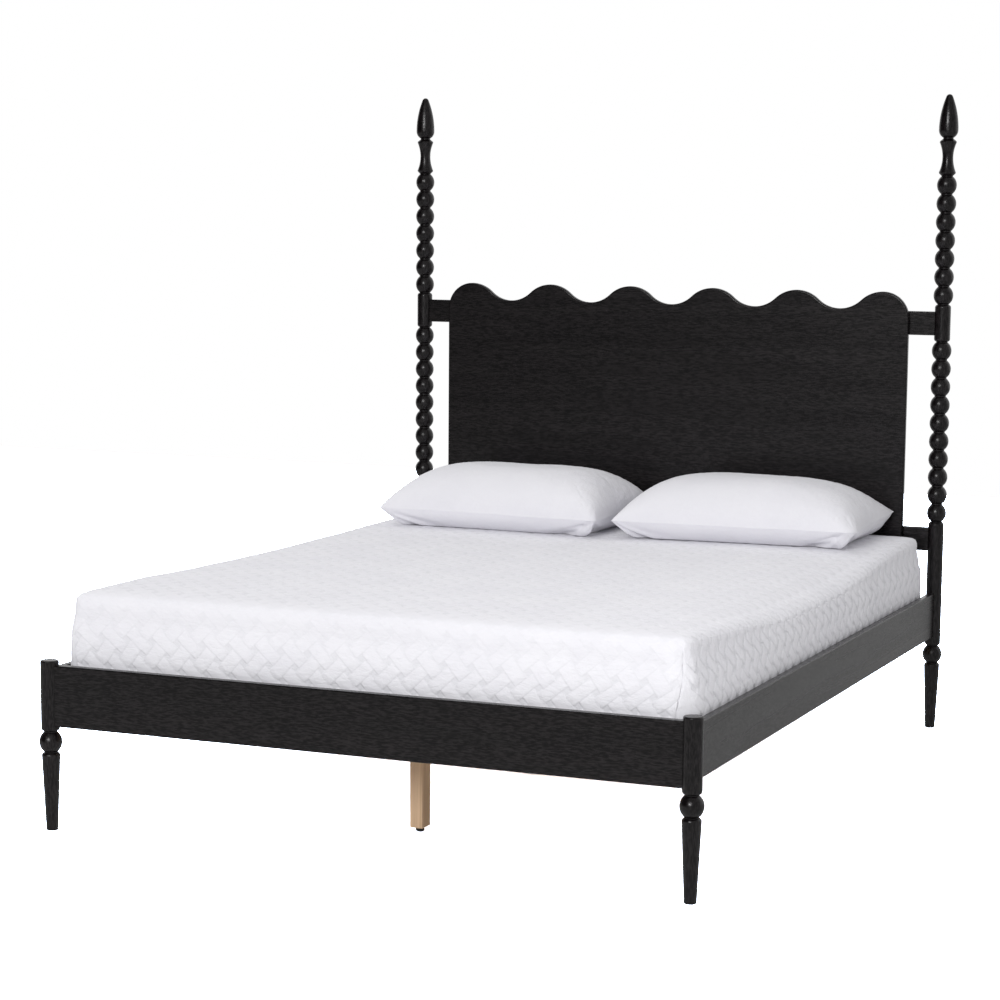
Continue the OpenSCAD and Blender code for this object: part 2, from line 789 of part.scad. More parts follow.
// A pillow, built of outlines that grow to the seam and close in again over the crown
module pillow(s) {
    turn = s < 0 ? left_pillow_turn : right_pillow_turn;
    reach_x = (pillow_w * cos(turn) + pillow_d * sin(abs(turn))) / 2;
    reach_y = (pillow_w * sin(abs(turn)) + pillow_d * cos(turn)) / 2;
    x = pillow_meet_x + s * (reach_x + pillow_gap / 2);
    y = panel_front_y - reach_y - (s < 0 ? pillow_left_gap : pillow_right_gap);
    outline = pillow_outline(16);
    low = [for (a = [15:15:75]) [sin(a), -pillow_seam_z * pow(1 - pow(sin(a), 6), 0.6)]];
    top = [for (a = [80:-10:10]) [sin(a), (pillow_h - pillow_seam_z) * pow(1 - pow(sin(a), 2.2), 0.6)]];
    rings = [for (q = concat(low, [[1, 0]], top)) [for (p = outline) [q[0] * p[0], q[0] * p[1], q[1]]]];
    color(COTTON)
        translate([x, y, pillow_z + pillow_seam_z]) rotate([0, 0, turn]) skin(rings);
}

module rail_bolts() {
    color(STEEL)
        for (j = ALL_JOINTS)
            at_joint(j) translate([0, j[3], j[7]]) rod_x(bolt_d, -bolt_past, bolt_end);
}

// A washer with a round side for the pocket's wall and a flat side for the nut
module half_moon_washers() {
    r = pocket_d / 2 - fit_gap;
    color(STEEL)
        for (j = ALL_JOINTS)
            at_joint(j)
                difference() {
                    translate([pocket_x, pocket_floor(j) + fit_gap, j[7]])
                        rotate([-90, 0, 0])
                            intersection() {
                                cylinder(r = r, h = 2 * nut_r, $fn = 64);
                                translate([-r - 1, -r * 0.7, -1])
                                    cube([r + 1 - moon_chord, r * 1.4, 2 * nut_r + 2]);
                            }
                    translate([0, j[3], j[7]]) rod_x(bolt_d + 2 * fit_gap, seat_x, bolt_end);
                }
}

module rail_nuts() {
    x0 = pocket_x - moon_chord + fit_gap;
    color(STEEL)
        for (j = ALL_JOINTS)
            at_joint(j)
                translate([x0, j[3], j[7]])
                    rotate([0, 90, 0])
                        difference() {
                            cylinder(r = nut_r, h = nut_h, $fn = 6);
                            translate([0, 0, -1])
                                cylinder(d = bolt_d + 2 * fit_gap, h = nut_h + 2, $fn = 32);
                        }
}

module rail_dowels() {
    l = dowel_in_post + dowel_in_rail;
    r = dowel_d / 2;
    c = dowel_chamfer;
    color(RAW_WOOD)
        for (j = ALL_JOINTS)
            for (z = j[8])
                at_joint(j)
                    translate([seat_x - dowel_in_post, j[3], z])
                        rotate([0, 90, 0])
                            rotate_extrude($fn = 32)
                                polygon([[0, 0], [r - c, 0], [r, c], [r, l - c], [r - c, l], [0, l]]);
}

module ledger_screws() {
    color(STEEL) for (s = SIDES) ledger_screw_set(s);
}

module slat_screws() {
    color(STEEL) for (i = [1:slat_count]) slat_screw_set(i);
}

module panel_screws() {
    color(STEEL) for (z = [lower_stretcher_z, upper_stretcher_z]) panel_screw_row(z);
}

module hanger_screws() {
    color(STEEL) for (end = SIDES) hanger_screw_set(end);
}

for (s = SIDES) {
    front_post(s);
    rear_post(s);
    spindle(s);
    finial(s);
    side_rail(s);
    ledger(s);
    pillow(s);
}
for (k = [1:leg_count]) {
    support_leg(k);
    leveling_glide(k);
}
for (i = [1:slat_count])
    slat(i);
foot_rail();
head_rail();
headboard_panel();
stretcher(upper_stretcher_z);  // upper_stretcher
stretcher(lower_stretcher_z);  // lower_stretcher
centre_beam();
beam_hanger(-1);  // beam_hanger_foot
beam_hanger(1);  // beam_hanger_head
mattress();
rail_bolts();
half_moon_washers();
rail_nuts();
rail_dowels();
ledger_screws();
slat_screws();
panel_screws();
hanger_screws();
color(STEEL) for (s = SIDES) spindle_stud(s);  // spindle_studs
color(STEEL) for (s = SIDES) finial_stud(s);  // finial_studs
color(STEEL) for (k = [1:leg_count]) leg_stud(k);  // leg_studs
color(STEEL) for (k = [1:leg_count]) glide_nut(k);  // glide_nuts
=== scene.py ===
"""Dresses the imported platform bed: stained wood with a fine grain on the frame, the scalloped panel with eased
edges, the quilted mattress and the two stuffed pillows, under soft studio light. Lengths are in metres."""

import math

import bmesh
import bpy
import numpy as np
from mathutils import Matrix, Vector, noise


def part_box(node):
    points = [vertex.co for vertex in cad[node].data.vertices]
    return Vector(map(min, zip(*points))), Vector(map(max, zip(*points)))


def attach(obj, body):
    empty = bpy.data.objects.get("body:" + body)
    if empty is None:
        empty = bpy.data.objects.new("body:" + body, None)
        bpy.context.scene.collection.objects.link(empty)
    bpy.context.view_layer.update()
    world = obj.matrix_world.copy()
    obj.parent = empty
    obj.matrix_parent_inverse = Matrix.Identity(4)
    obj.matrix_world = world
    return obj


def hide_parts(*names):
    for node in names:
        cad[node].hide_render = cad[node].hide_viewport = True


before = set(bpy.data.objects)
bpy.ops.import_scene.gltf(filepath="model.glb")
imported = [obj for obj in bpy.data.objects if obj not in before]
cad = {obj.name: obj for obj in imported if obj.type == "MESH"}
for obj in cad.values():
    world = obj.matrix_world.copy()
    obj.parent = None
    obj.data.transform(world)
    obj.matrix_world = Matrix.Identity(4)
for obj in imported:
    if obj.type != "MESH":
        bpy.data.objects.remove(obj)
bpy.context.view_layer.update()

MM = 0.001

# ---------------------------------------------------------------- camera

# The photograph's camera, solved from the posts, rails and panel
CAMERA_AT = Vector((2.5543, -6.2535, 1.4842))
CAMERA_AZIMUTH, CAMERA_DIP, CAMERA_ROLL = (math.radians(a) for a in (22.8836, 8.4157, 0.45274))
SENSOR = 36.0
FOCAL_PIXELS, FRAME_PIXELS = 2643.1, 1000.0
CENTRE_PIXELS = (503.84, 589.31)


def add_camera():
    data = bpy.data.cameras.new("photo_camera")
    data.sensor_fit = "HORIZONTAL"
    data.sensor_width = SENSOR
    data.lens = FOCAL_PIXELS * SENSOR / FRAME_PIXELS
    data.shift_x = 0.5 - CENTRE_PIXELS[0] / FRAME_PIXELS
    data.shift_y = CENTRE_PIXELS[1] / FRAME_PIXELS - 0.5
    data.clip_start, data.clip_end = 0.1, 200.0
    camera = bpy.data.objects.new("photo_camera", data)
    bpy.context.scene.collection.objects.link(camera)
    az, dip, roll = CAMERA_AZIMUTH, CAMERA_DIP, CAMERA_ROLL
    ahead = Vector((-math.sin(az) * math.cos(dip), math.cos(az) * math.cos(dip), -math.sin(dip)))
    level = Vector((math.cos(az), math.sin(az), 0.0))
    above = level.cross(ahead)
    right = level * math.cos(roll) + above * math.sin(roll)
    up = above * math.cos(roll) - level * math.sin(roll)
    turn = Matrix((right, up, -ahead)).transposed()
    camera.matrix_world = Matrix.Translation(CAMERA_AT) @ turn.to_4x4()
    bpy.context.scene.camera = camera


add_camera()

# ---------------------------------------------------------------- node helpers


def feed(tree, socket, value):
    """Links another node's socket to this one, or sets a value. Three numbers make an opaque colour."""
    if isinstance(value, bpy.types.NodeSocket):
        tree.links.new(value, socket)
    elif socket.type == "RGBA":
        socket.default_value = (*value[:3], 1.0)
    else:
        socket.default_value = value


def put(tree, kind, settings=None, values=None, **inputs):
    """A new node. Inputs are named with _ for a space, and values go in by position."""
    made = tree.nodes.new(kind)
    for name, value in (settings or {}).items():
        setattr(made, name, value)
    for name, value in inputs.items():
        feed(tree, made.inputs[name.replace("_", " ")], value)
    for position, value in (values or {}).items():
        feed(tree, made.inputs[position], value)
    return made


def maths(tree, operation, *values):
    return put(tree, "ShaderNodeMath", {"operation": operation}, dict(enumerate(values))).outputs[0]


def blend_colour(tree, share, first, second):
    """Colours mixed by share. Colours are 3 numbers or a socket."""
    return put(tree, "ShaderNodeMix", {"data_type": "RGBA"}, {0: share, 6: first, 7: second}).outputs[2]


def put_grey(tree, value):
    return put(tree, "ShaderNodeCombineColor", Red=value, Green=value, Blue=value).outputs[0]


def spread(tree, value, low, high, to_low=0.0, to_high=1.0):
    """value between low and high, stretched to to_low and to_high."""
    settings = {"interpolation_type": "SMOOTHSTEP"}
    ends = {1: low, 2: high, 3: to_low, 4: to_high}
    return put(tree, "ShaderNodeMapRange", settings, {0: value, **ends}).outputs[0]


def object_coordinates(tree, scale=(1.0, 1.0, 1.0), turn=(0.0, 0.0, 0.0)):
    where = put(tree, "ShaderNodeTexCoord").outputs["Object"]
    return put(tree, "ShaderNodeMapping", Vector=where, Scale=scale, Rotation=turn).outputs[0]


def speckle(tree, where, scale, detail=4.0, roughness=0.55, distortion=0.0):
    return put(
        tree, "ShaderNodeTexNoise", Vector=where, Scale=scale, Detail=detail, Roughness=roughness, Distortion=distortion
    ).outputs["Fac"]


def new_material(name):
    """(material, its tree, its shader)"""
    made = bpy.data.materials.new(name)
    made.use_nodes = True
    shader = made.node_tree.nodes["Principled BSDF"]
    return made, made.node_tree, shader


def set_shader(tree, shader, **inputs):
    for name, value in inputs.items():
        feed(tree, shader.inputs[name.replace("_", " ")], value)


def relief(tree, height, strength, depth, under=None):
    """A bump of that depth in metres, over another one."""
    made = put(tree, "ShaderNodeBump", Height=height, Strength=strength, Distance=depth)
    if under is not None:
        tree.links.new(under, made.inputs["Normal"])
    return made.outputs[0]


AXES = {"X": 0, "Y": 1, "Z": 2}


def along(axis, lengthwise, across):
    """Scales of a pattern that runs along an axis."""
    scales = [across] * 3
    scales[AXES[axis]] = lengthwise
    return tuple(scales)


# Scales of the stain's grain and of its broader figure, along and across the wood
STAIN_GRAIN, STAIN_FIGURE = (60.0, 330.0), (1.2, 22.0)
STAIN_PORE, STAIN_FIBRE = (0.0014, 0.0010, 0.0012), (0.0086, 0.0059, 0.0068)
STAIN_ROUGH, STAIN_GLOSS = (0.24, 0.30), (0.28, 0.46)
PORE_DEPTH = 0.16 * MM


def black_wood(axis):
    """Black stain under a satin varnish: open pores along the grain, a faint brown in the lighter fibres."""
    made, tree, shader = new_material(f"black_wood_{axis.lower()}")
    grain = speckle(tree, object_coordinates(tree, along(axis, *STAIN_GRAIN)), 1.0, 4.0, 0.62)
    figure = speckle(tree, object_coordinates(tree, along(axis, *STAIN_FIGURE)), 1.0, 3.0, 0.5, 0.6)
    pores = spread(tree, grain, 0.36, 0.62)
    fibre = maths(tree, "MULTIPLY", pores, spread(tree, figure, 0.3, 0.75, 0.55, 1.0))
    colour = blend_colour(tree, fibre, STAIN_PORE, STAIN_FIBRE)
    rough = spread(tree, figure, 0.25, 0.8, *STAIN_ROUGH)
    gloss = spread(tree, grain, 0.4, 0.64, *STAIN_GLOSS)
    normal = relief(tree, pores, 0.35, PORE_DEPTH)
    set_shader(tree, shader, Base_Color=colour, Roughness=rough, Normal=normal, IOR=1.5, Specular_IOR_Level=gloss)
    return made


# Scales of the rings and of the fibres, along and across the wood
BARE_RINGS, BARE_FIBRES = (1.3, 46.0), (14.0, 700.0)
EARLY_WOOD, LATE_WOOD, DARK_FIBRE = (0.80, 0.575, 0.385), (0.68, 0.47, 0.29), (0.52, 0.36, 0.22)
BARE_ROUGH = (0.62, 0.8)


def raw_wood(axis):
    """Planed softwood, unfinished: early and late wood along the piece."""
    made, tree, shader = new_material(f"raw_wood_{axis.lower()}")
    rings = speckle(tree, object_coordinates(tree, along(axis, *BARE_RINGS)), 1.0, 3.0, 0.5, 1.2)
    fibre = speckle(tree, object_coordinates(tree, along(axis, *BARE_FIBRES)), 1.0, 4.0, 0.6)
    late = spread(tree, rings, 0.42, 0.62)
    light = blend_colour(tree, late, EARLY_WOOD, LATE_WOOD)
    colour = blend_colour(tree, spread(tree, fibre, 0.35, 0.7, 0.0, 0.3), light, DARK_FIBRE)
    rough = spread(tree, fibre, 0.3, 0.7, *BARE_ROUGH)
    normal = relief(tree, fibre, 0.4, 0.3 * MM)
    set_shader(tree, shader, Base_Color=colour, Roughness=rough, Normal=normal, IOR=1.5)
    return made


def zinc_steel():
    made, tree, shader = new_material("zinc_steel")
    cloud = speckle(tree, object_coordinates(tree), 160.0, 3.0)
    scratch = speckle(tree, object_coordinates(tree, (900.0, 60.0, 900.0)), 1.0, 2.0)
    colour = blend_colour(tree, cloud, (0.42, 0.43, 0.45), (0.60, 0.61, 0.62))
    rough = spread(tree, cloud, 0.3, 0.7, 0.28, 0.46)
    normal = relief(tree, scratch, 0.2, 0.1 * MM)
    set_shader(tree, shader, Base_Color=colour, Roughness=rough, Normal=normal, Metallic=1.0)
    return made


def black_plastic():
    made, tree, shader = new_material("black_plastic")
    grit = speckle(tree, object_coordinates(tree), 1400.0, 3.0)
    colour = blend_colour(tree, grit, (0.010, 0.010, 0.011), (0.018, 0.018, 0.019))
    rough = spread(tree, grit, 0.3, 0.7, 0.42, 0.58)
    normal = relief(tree, grit, 0.3, 0.15 * MM)
    set_shader(tree, shader, Base_Color=colour, Roughness=rough, Normal=normal, IOR=1.46)
    return made


COTTON_TONES = ((0.835, 0.828, 0.872), (0.86, 0.853, 0.893))
# The tone of the painted shade in the hollows of the ribs and in the sewn lines
COTTON_PAINTED_SHADE = (0.62, 0.62, 0.65)
COTTON_ROUGH = 0.92
# How far that painted shade darkens the ribs' hollows and the sewn lines
RIB_PAINTED_SHADE, SEWN_PAINTED_SHADE = 0.12, 0.3
RIB_DEPTH = 0.35 * MM


def white_fabric(name, creases, turn, crease_depth, yarn=520.0, light=1.0):
    """White knitted cotton: small creases, a ribbed yarn and a faint fuzz, with painted shade in the hollows of the
    ribs and, where the mesh says it is sewn, in the sewn lines.
    """
    made, tree, shader = new_material(name)
    soft = speckle(tree, object_coordinates(tree, creases, turn), 1.0, 3.0, 0.55, 0.4)
    ribs = speckle(tree, object_coordinates(tree, (yarn, yarn * 0.45, yarn), turn), 1.0, 2.0, 0.6)
    cloud = speckle(tree, object_coordinates(tree), 7.0, 2.0)
    # light scales both tones. Below 1, as on the pillows, it is painted shade
    darker, lighter = (tuple(light * c for c in tone) for tone in COTTON_TONES)
    tint = blend_colour(tree, spread(tree, cloud, 0.3, 0.7), darker, lighter)
    # Painted shade: darker where the ribs are low, in their hollows, and in the sewn lines where the mesh carries their
    # value
    painted_shade = maths(tree, "MULTIPLY", spread(tree, ribs, 0.3, 0.6, 0.35, 0.0), RIB_PAINTED_SHADE)
    sewn = put(tree, "ShaderNodeAttribute", {"attribute_name": "sewn"}).outputs["Fac"]
    painted_shade = maths(tree, "ADD", painted_shade, maths(tree, "MULTIPLY", sewn, SEWN_PAINTED_SHADE))
    colour = blend_colour(tree, painted_shade, tint, COTTON_PAINTED_SHADE)
    normal = relief(tree, ribs, 0.5, RIB_DEPTH, relief(tree, soft, 0.55, crease_depth))
    set_shader(tree, shader, Base_Color=colour, Roughness=COTTON_ROUGH, Normal=normal, Specular_IOR_Level=0.25)
    set_shader(tree, shader, Sheen_Weight=0.12, Sheen_Roughness=0.5)
    return made


WOOD = {axis: black_wood(axis) for axis in AXES}
BARE = {axis: raw_wood(axis) for axis in AXES}
STEEL, PLASTIC = zinc_steel(), black_plastic()

# Material by the start of a node's name. The rest is steel.
FINISH = {
    "front_post": WOOD["Z"],
    "rear_post": WOOD["Z"],
    "spindle_left": WOOD["Z"],
    "spindle_right": WOOD["Z"],
    "finial_left": WOOD["Z"],
    "finial_right": WOOD["Z"],
    "foot_rail": WOOD["X"],
    "head_rail": WOOD["X"],
    "side_rail": WOOD["Y"],
    "headboard_panel": WOOD["X"],
    "upper_stretcher": WOOD["X"],
    "lower_stretcher": WOOD["X"],
    "ledger_left": BARE["Y"],
    "ledger_right": BARE["Y"],
    "centre_beam": BARE["Y"],
    "slat_0": BARE["X"],
    "slat_1": BARE["X"],
    "support_leg": BARE["Z"],
    "leveling_glide": PLASTIC,
    "rail_dowels": BARE["Y"],
}

for name, piece in cad.items():
    found = [finish for start, finish in FINISH.items() if name.startswith(start)]
    chosen = found[0] if found else STEEL
    piece.data.materials.clear()
    piece.data.materials.append(chosen)
    if len(piece.data.polygons):
        piece.data.polygons.foreach_set("material_index", [0] * len(piece.data.polygons))

# ---------------------------------------------------------------- mesh helpers


def new_piece(name, points, faces, material, smooth=True):
    mesh = bpy.data.meshes.new(name)
    mesh.from_pydata([tuple(p) for p in points], [], faces)
    mesh.update()
    mesh.polygons.foreach_set("use_smooth", [smooth] * len(mesh.polygons))
    mesh.materials.append(material)
    made = bpy.data.objects.new(name, mesh)
    bpy.context.scene.collection.objects.link(made)
    return made


def read(mesh, what):
    """The "co" or "normal" of each vertex."""
    values = np.empty(len(mesh.vertices) * 3)
    mesh.vertices.foreach_get(what, values)
    return values.reshape(-1, 3)


def flatten_shading(piece, name, weight):
    """Lets the large faces decide the normals."""
    even = piece.modifiers.new(name, "WEIGHTED_NORMAL")
    even.mode, even.weight, even.keep_sharp = "FACE_AREA", weight, False


def stand_for(piece, node, body):
    """Rides the piece on a body, in place of a node, which it hides."""
    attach(piece, body)
    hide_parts(node)


def fade(values, start, length):
    """0 up to start, 1 from start + length."""
    return np.clip((values - start) / length, 0, 1)


def write_points(mesh, points):
    mesh.vertices.foreach_set("co", np.asarray(points, np.float32).ravel())
    mesh.update()


def ripple(points, sizes, seed):
    """Smooth noise from -1 to 1 at each point, with a grain of these sizes along the axes."""
    q = np.asarray(points) / np.asarray(sizes) + seed
    return np.array([noise.noise(Vector(p)) for p in q])


def waves(points, kinds, seed=0):
    """Ripples added up. Each kind has its sizes, its height and what it adds to the seed."""
    return sum(ripple(points, sizes, seed + more) * height for sizes, height, more in kinds)


# ---------------------------------------------------------------- headboard panel

SCALLOPS = 6
SCALLOP_DEPTH = 49.5 * MM
SHOULDER_R = 75 * MM
# Steps along a shoulder, half a crest and a trough
SHOULDER_STEPS, CREST_STEPS, TROUGH_STEPS = 16, 10, 20
PANEL_EASE, EASE_STEPS = 4.5 * MM, 4


def arc(cx, cz, r, start, end, count):
    """Points of an arc in degrees, both ends included."""
    turns = np.radians(np.linspace(start, end, count + 1))
    return [(cx + r * math.cos(t), cz + r * math.sin(t)) for t in turns]


def panel_outline(half, low, crest):
    """The panel's outline from the lower left, as the solid has it: waves of one radius between round shoulders."""
    pitch = 2 * (half - SHOULDER_R) / (SCALLOPS - 1)
    rise, run = SCALLOP_DEPTH / 2, pitch / 4
    r = (rise * rise + run * run) / (2 * rise)
    turn = math.degrees(math.asin(run / r))
    line = [(-half, low), (half, low)]
    line += arc(half - SHOULDER_R, crest - SHOULDER_R, SHOULDER_R, 0, 90, SHOULDER_STEPS)
    for i in range(SCALLOPS - 1):
        x = half - SHOULDER_R - i * pitch
        line += arc(x, crest - r, r, 90, 90 + turn, CREST_STEPS)[1:]
        line += arc(x - pitch / 2, crest - SCALLOP_DEPTH + r, r, turn - 90, -turn - 90, TROUGH_STEPS)[1:]
        line += arc(x - pitch, crest - r, r, 90 - turn, 90, CREST_STEPS)[1:]
    line += arc(SHOULDER_R - half, crest - SHOULDER_R, SHOULDER_R, 90, 180, SHOULDER_STEPS)[1:]
    return line


def make_panel():
    low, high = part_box("headboard_panel")
    line = panel_outline(high.x, low.z, high.z)
    n = len(line)
    points = [(x, low.y, z) for x, z in line] + [(x, high.y, z) for x, z in line]
    faces = [tuple(range(n)), tuple(reversed(range(n, 2 * n)))]
    faces += [(i + n, (i + 1) % n + n, (i + 1) % n, i) for i in range(n)]
    panel = new_piece("scalloped_panel", points, faces, WOOD["X"])
    shape = bmesh.new()
    shape.from_mesh(panel.data)
    bmesh.ops.recalc_face_normals(shape, faces=shape.faces)
    rims = [e for e in shape.edges if abs(e.verts[0].co.y - e.verts[1].co.y) < 1e-6]
    ease = {"offset": PANEL_EASE, "segments": EASE_STEPS, "profile": 0.5}
    bmesh.ops.bevel(shape, geom=rims, affect="EDGES", clamp_overlap=True, **ease)
    shape.to_mesh(panel.data)
    shape.free()
    panel.data.polygons.foreach_set("use_smooth", [True] * len(panel.data.polygons))
    flatten_shading(panel, "even_normals", 100)
    stand_for(panel, "headboard_panel", "frame")


make_panel()

# ---------------------------------------------------------------- mattress

# The sewn pattern is a plain weave of strips two units wide and one unit apart, laid on the diagonal. Three units
# square, turned on a corner, repeat along X, along Y and down the sides at these lengths.
REPEAT_X, REPEAT_Y, REPEAT_Z = 65.3 * MM, 62.0 * MM, 63.0 * MM
# Half the width of a sewn line, in units, and the height of the strips
SEWN, PUFF = 0.17, 1.9 * MM
# X and Z of the pattern's origin on the front wall
PATTERN_AT = (-0.2301, 0.4862)
# How far below the top the walls begin
RIM_DROP = 60 * MM
# Radius of the upright corners, left and right
PLAN_R = (26 * MM, 50 * MM)
BASE_R = 20 * MM
# How far the rims lie inside the solid at the ends, where the walls swell, and outside it at the sides
BELLY, SPREAD = 5 * MM, 1 * MM
# How far the walls stand out on their way from the rim, 0, to the base, 1, in mm
WALL_SWELL = ((0, 0), (120, 5), (250, 9.5), (500, 12), (900, 12.5), (1000, 12))
# Share of that at the head end, which has to pass the headboard panel when the mattress is lifted
HEAD_SHARE = 0.1
# Depth at which the cloth of a wall lies evenly along it
RELAX = 110 * MM
# Extra lines of the mesh near the rims of the top, in mm from the edge
RIM_LINES = (7, 15, 26, 40, 58)
# The seams on the end walls, and the crease behind the rims of the ends
SEAM_X = 740 * MM
SEAM_W, SEAM_DEEP, SEAM_SHARP = 3 * MM, 2.2 * MM, 1.4
CREASE_AT, CREASE_W, CREASE_DEEP = 37 * MM, 7 * MM, 1.4 * MM
# Share of the pattern's relief on the top near its ends, on the rims of the ends and on the side walls
FLAT_SHARE, RIM_SHARE, SIDE_SHARE = 0.1, 0.35, 1.8
# How much more of it there is low on the front wall, which the rail pulls tight, and the height where that fades out
PULL, PULL_TOP, PULL_FADE = 0.8, 0.43, 0.08
# Waves in the cloth: sizes, height and seed
WAVES = (((0.31, 0.27, 0.2), 2.2 * MM, 3.7), ((0.09, 0.1, 0.07), 0.7 * MM, 9.1))
# Points of an upright corner: joined within this distance. In repeats of the pattern: on its line, and apart along it.
JOIN_WITHIN, ON_LINE, APART = 0.6 * MM, 1e-5, 2e-4
# How far in from the edge, and how far the top has dropped there, in mm: the ends, the sides' crisp profile near
# the corners, and the worn slope along the middle of the sides
END_EDGE = ((0, 60), (0.8, 40), (2.6, 24), (8, 12.5), (16, 6), (28, 2.2), (46, 0.6), (90, 0))
CRISP_EDGE = ((0, 60), (0.8, 30), (2.5, 16), (6, 8), (12, 4), (25, 1.5), (50, 0.5), (240, 0))
WORN_EDGE = ((0, 60), (1.5, 54), (6, 47), (14, 40), (30, 32.5), (53, 24.5), (83, 14.5), (112, 8), (160, 3), (240, 0))
# Share of the worn profile at places along the bed, in mm from the middle
WORN_PLACES = (-1016, -903, -823, -716, -587, -332, 184, 570, 760, 1020)
WORN_SHARES = (0, 0.13, 0.27, 0.48, 0.56, 0.96, 1, 0.35, 0.1, 0)
LEFT_WORN = 0.1
# How far the top swells, or sinks, at places along the bed, in mm from the middle
TOP_SWELL = ((-950, 8), (-700, 7), (-450, 0), (-100, -4), (400, -5), (600, -3))


def table(pairs, at):
    places, values = (np.array(c) * MM for c in zip(*pairs))
    return np.interp(at, places, values)


def edge_run(pairs):
    """(length of cloth from the rim, how far in from the edge) along a profile, finely."""
    inset = np.linspace(0, pairs[-1][0] * MM, 600)
    run = np.concatenate([[0], np.cumsum(np.hypot(np.diff(inset), np.diff(table(pairs, inset))))])
    return run, inset


def weave(a, b):
    """Height of the sewn pattern, 0 in the sewn lines and the small squares and 1 on the strips. a and b count its
    repeats across and up."""
    p, q = 3 * (a + b), 3 * (a - b)
    i, j = np.floor(p / 3), np.floor(q / 3)
    u, v = p - 3 * i, q - 3 * j
    even = (i + j) % 2 < 0.5
    on_rising = (v <= 2) & (even | (u < 1))
    start = np.where(even, 0, -3)
    rising = np.minimum(np.minimum(u - start, start + 4 - u), np.minimum(v, 2 - v))
    start = np.where(even, 2, -1)
    falling = np.minimum(np.minimum(v - start, start + 4 - v), np.minimum(u - 1, 3 - u))
    near = np.where(on_rising, rising, np.where(u >= 1, falling, 0))
    return np.clip(near / SEWN, 0, 1)


class MattressForm:
    """Where the cloth of the mattress lies. a and b count the pattern's repeats from the middle of the top."""

    def __init__(self):
        self.low, self.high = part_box("mattress")
        self.mid = (self.low + self.high) / 2
        self.half = ((self.high.x - self.low.x) / 2 + SPREAD, (self.high.y - self.low.y) / 2 - BELLY)
        self.reach = (self.half[0] / REPEAT_X, self.half[1] / REPEAT_Y)
        self.wall = self.high.z - RIM_DROP - self.low.z
        self.depth = self.wall / REPEAT_Z
        middle_edge = tuple((x, (table(CRISP_EDGE, x * MM) + table(WORN_EDGE, x * MM)) / 2 / MM) for x, _ in WORN_EDGE)
        self.runs = (edge_run(middle_edge), edge_run(END_EDGE))

    def from_middle(self, count, axis):
        """Plan distance from the middle, signed, at a count of repeats on the top."""
        run, inset = self.runs[axis]
        half, reach = self.half[axis], self.reach[axis]
        total = run[-1] + half - inset[-1]
        left = total * (1 - np.minimum(np.abs(count) / reach, 1))
        inner = half - inset[-1] - (left - run[-1])
        return np.sign(count) * np.where(left > run[-1], inner, half - np.interp(left, run, inset)), left

    def place(self, a, b):
        """(points, depth below the rim, cloth left to the end rims)"""
        over_a, over_b = np.abs(a) - self.reach[0], np.abs(b) - self.reach[1]
        depth = np.maximum(np.maximum(over_a, over_b), 0) * REPEAT_Z
        a, b = np.clip(a, -self.reach[0], self.reach[0]), np.clip(b, -self.reach[1], self.reach[1])
        (x, _), (y, left_y) = self.from_middle(a, 0), self.from_middle(b, 1)
        worn = np.interp(y, np.array(WORN_PLACES) * MM, WORN_SHARES)
        worn = worn * np.where(x < 0, LEFT_WORN, 1)
        in_x, in_y = self.half[0] - np.abs(x), self.half[1] - np.abs(y)
        side_drop = table(CRISP_EDGE, in_x) * (1 - worn) + table(WORN_EDGE, in_x) * worn
        drop = np.minimum((side_drop**3 + table(END_EDGE, in_y) ** 3) ** (1 / 3), RIM_DROP)
        z = self.high.z + table(TOP_SWELL, y) - drop
        # down the walls the cloth evens out along them
        even = np.clip(depth / RELAX, 0, 1)
        even = even * even * (3 - 2 * even)
        x += (a / self.reach[0] * self.half[0] - x) * even * (over_b > 0)
        y += (b / self.reach[1] * self.half[1] - y) * even * (over_a > 0)
        corner_x, corner_y = (half - np.where(x < 0, *PLAN_R) for half in self.half)
        core = np.stack([np.clip(x, -corner_x, corner_x), np.clip(y, -corner_y, corner_y)], 1)
        out = np.stack([x, y], 1) - core
        far = np.linalg.norm(out, axis=1)
        square = np.abs(out).max(axis=1)
        out = out / np.maximum(far, 1e-9)[:, None]
        plan = core + out * square[:, None]
        z_low = self.low.z + BASE_R
        straight = self.wall - BASE_R
        share = np.clip(depth / straight, 0, 1)
        turn = np.clip((depth - straight) / BASE_R, 0, 1) * math.pi / 2
        height = z + (z_low - z) * share - BASE_R * np.sin(turn)
        swell = out * table(WALL_SWELL, share)[:, None]
        swell[:, 1] *= np.where(out[:, 1] > 0, HEAD_SHARE, 1)
        plan = plan + swell - out * (BASE_R * (1 - np.cos(turn)))[:, None] + [self.mid.x, self.mid.y]
        return np.column_stack([plan, height]), depth, left_y


